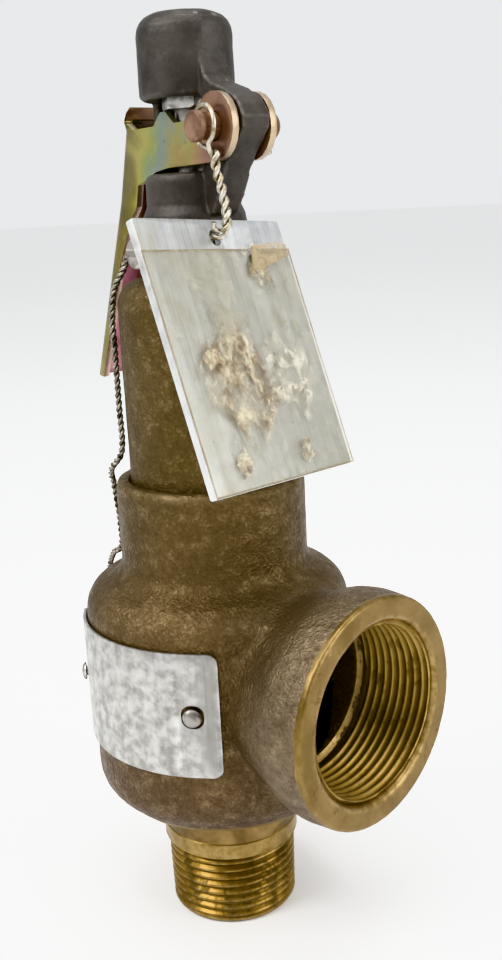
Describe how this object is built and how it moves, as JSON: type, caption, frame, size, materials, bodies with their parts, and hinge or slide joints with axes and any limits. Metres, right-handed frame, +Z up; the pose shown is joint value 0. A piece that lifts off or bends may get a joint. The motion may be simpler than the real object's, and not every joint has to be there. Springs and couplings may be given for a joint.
{
  "type": "pressure relief valve",
  "caption": "Bronze safety relief valve with a male inlet nozzle, a side outlet, a lifting lever in an open cap, a wire seal and a hanging blank plate.",
  "frame": {"origin": "centre of the inlet end face, on the valve axis", "axes": "+Z up the valve axis towards the cap, +X along the outlet, -Y towards the nameplate"},
  "size_m": [0.0958, 0.0692, 0.2212],
  "materials": {
    "cast_bronze": "sand cast, worn",
    "brass": "machined, tarnished",
    "steel": "satin",
    "spring_steel": "satin",
    "cap_iron": "painted dark, semi-gloss",
    "yellow_zinc": "yellow chromate, iridescent",
    "pin_bronze": "dull",
    "aluminium": "brushed, stained",
    "clear_film": "clear adhesive film",
    "wire": "twisted, bright",
    "lead": "dull pressed lead"
  },
  "bodies": {
    "valve": {"body": "cast_bronze", "bonnet": "cast_bronze", "nozzle": "brass", "guide": "brass", "regulator_ring": "brass", "ring_screw": "steel", "upper_spring_step": "steel", "compression_screw": "brass", "jam_nut": "brass", "cap": "cap_iron", "cap_screw": "steel", "lever_pin": "pin_bronze", "pin_washer": "steel", "pin_cotter": "steel", "nameplate": "aluminium", "rivet_left": "steel", "rivet_right": "steel", "seal_wire": "wire", "lead_seal": "lead"},
    "stem_assembly": {"stem": "steel", "disc": "steel", "disc_holder": "brass", "lower_spring_step": "steel", "spring": "spring_steel", "lifting_nut": "steel", "lifting_lock_nut": "steel"},
    "lever": {"lever": "yellow_zinc"},
    "tag": {"tag_plate": "aluminium", "tag_film": "clear_film", "tag_wire": "wire"}
  },
  "joints": [
    {"name": "lever_lift", "type": "hinge", "parent": "valve", "child": "lever", "pos_m": [0.01802, -0.00318, 0.1957], "axis": [0.1736, 0.9848, 0], "range_deg": [0, 10]},
    {"name": "stem_lift", "type": "slide", "parent": "valve", "child": "stem_assembly", "axis": [0, 0, 1], "range_m": [0, 0.0035], "stiffness_N_per_m": 2000, "springref_m": -0.01, "deforming": ["spring"]},
    {"name": "tag_swing", "type": "hinge", "parent": "valve", "child": "tag", "pos_m": [0.01802, -0.00318, 0.1957], "axis": [-0.1736, -0.9848, 0], "range_deg": [0, 60]}
  ],
  "couplings": [
    {"joint": "lever_lift", "follows": "stem_lift", "rad_per_m": 49.8}
  ]
}
